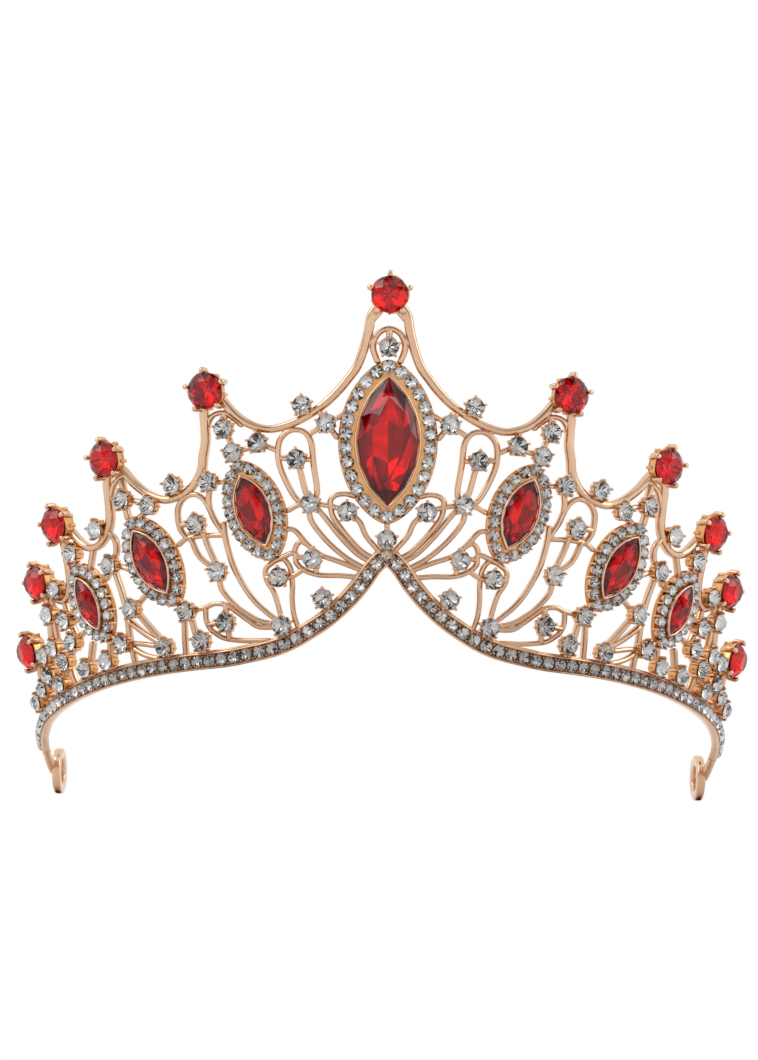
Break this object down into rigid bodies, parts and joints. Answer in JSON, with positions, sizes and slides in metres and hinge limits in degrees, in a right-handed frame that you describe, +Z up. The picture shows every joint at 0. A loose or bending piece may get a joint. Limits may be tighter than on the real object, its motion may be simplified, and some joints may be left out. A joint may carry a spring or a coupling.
{
  "type": "tiara",
  "caption": "Open scalloped crown for the hair: lacy gold-coloured metal wall with red pointed-oval and round stones, clear stone accents and an eyelet at each end.",
  "frame": {"origin": "centre of the bounding box in X and Y, on the surface the crown stands on (Z = 0) with the front of the band and both eyelets touching it", "axes": "+X is the wearer's left (right in a front view), the front of the crown faces -Y, +Z is up towards the peaks"},
  "size_m": [0.1678, 0.1292, 0.0752],
  "materials": {
    "gold_metal": "polished light rose-gold plating",
    "red_stone": "faceted, foil backed",
    "clear_stone": "faceted, foil backed"
  },
  "bodies": {
    "root": {"band_left": "gold_metal", "band_right": "gold_metal", "eyelet_left": "gold_metal", "eyelet_right": "gold_metal", "rim_left": "gold_metal", "rim_right": "gold_metal", "crest_wires": "gold_metal", "filigree_left": "gold_metal", "filigree_right": "gold_metal", "setting_centre": "gold_metal", "setting_left_1": "gold_metal", "setting_left_2": "gold_metal", "setting_left_3": "gold_metal", "setting_right_1": "gold_metal", "setting_right_2": "gold_metal", "setting_right_3": "gold_metal", "peak_cup_centre": "gold_metal", "peak_cups_left": "gold_metal", "peak_cups_right": "gold_metal", "small_cups_centre": "gold_metal", "small_cups_left": "gold_metal", "small_cups_right": "gold_metal", "peak_stone_centre": "red_stone", "peak_stone_left_1": "red_stone", "peak_stone_left_2": "red_stone", "peak_stone_left_3": "red_stone", "peak_stone_left_4": "red_stone", "peak_stone_left_5": "red_stone", "peak_stone_right_1": "red_stone", "peak_stone_right_2": "red_stone", "peak_stone_right_3": "red_stone", "peak_stone_right_4": "red_stone", "peak_stone_right_5": "red_stone", "marquise_centre": "red_stone", "marquise_left_1": "red_stone", "marquise_left_2": "red_stone", "marquise_left_3": "red_stone", "marquise_right_1": "red_stone", "marquise_right_2": "red_stone", "marquise_right_3": "red_stone", "halo_centre": "clear_stone", "halo_left_1": "clear_stone", "halo_left_2": "clear_stone", "halo_left_3": "clear_stone", "halo_right_1": "clear_stone", "halo_right_2": "clear_stone", "halo_right_3": "clear_stone", "small_stones_centre": "clear_stone", "small_stones_left": "clear_stone", "small_stones_right": "clear_stone", "band_stones_left": "clear_stone", "band_stones_right": "clear_stone", "band_stone_apex": "clear_stone"}
  },
  "joints": []
}
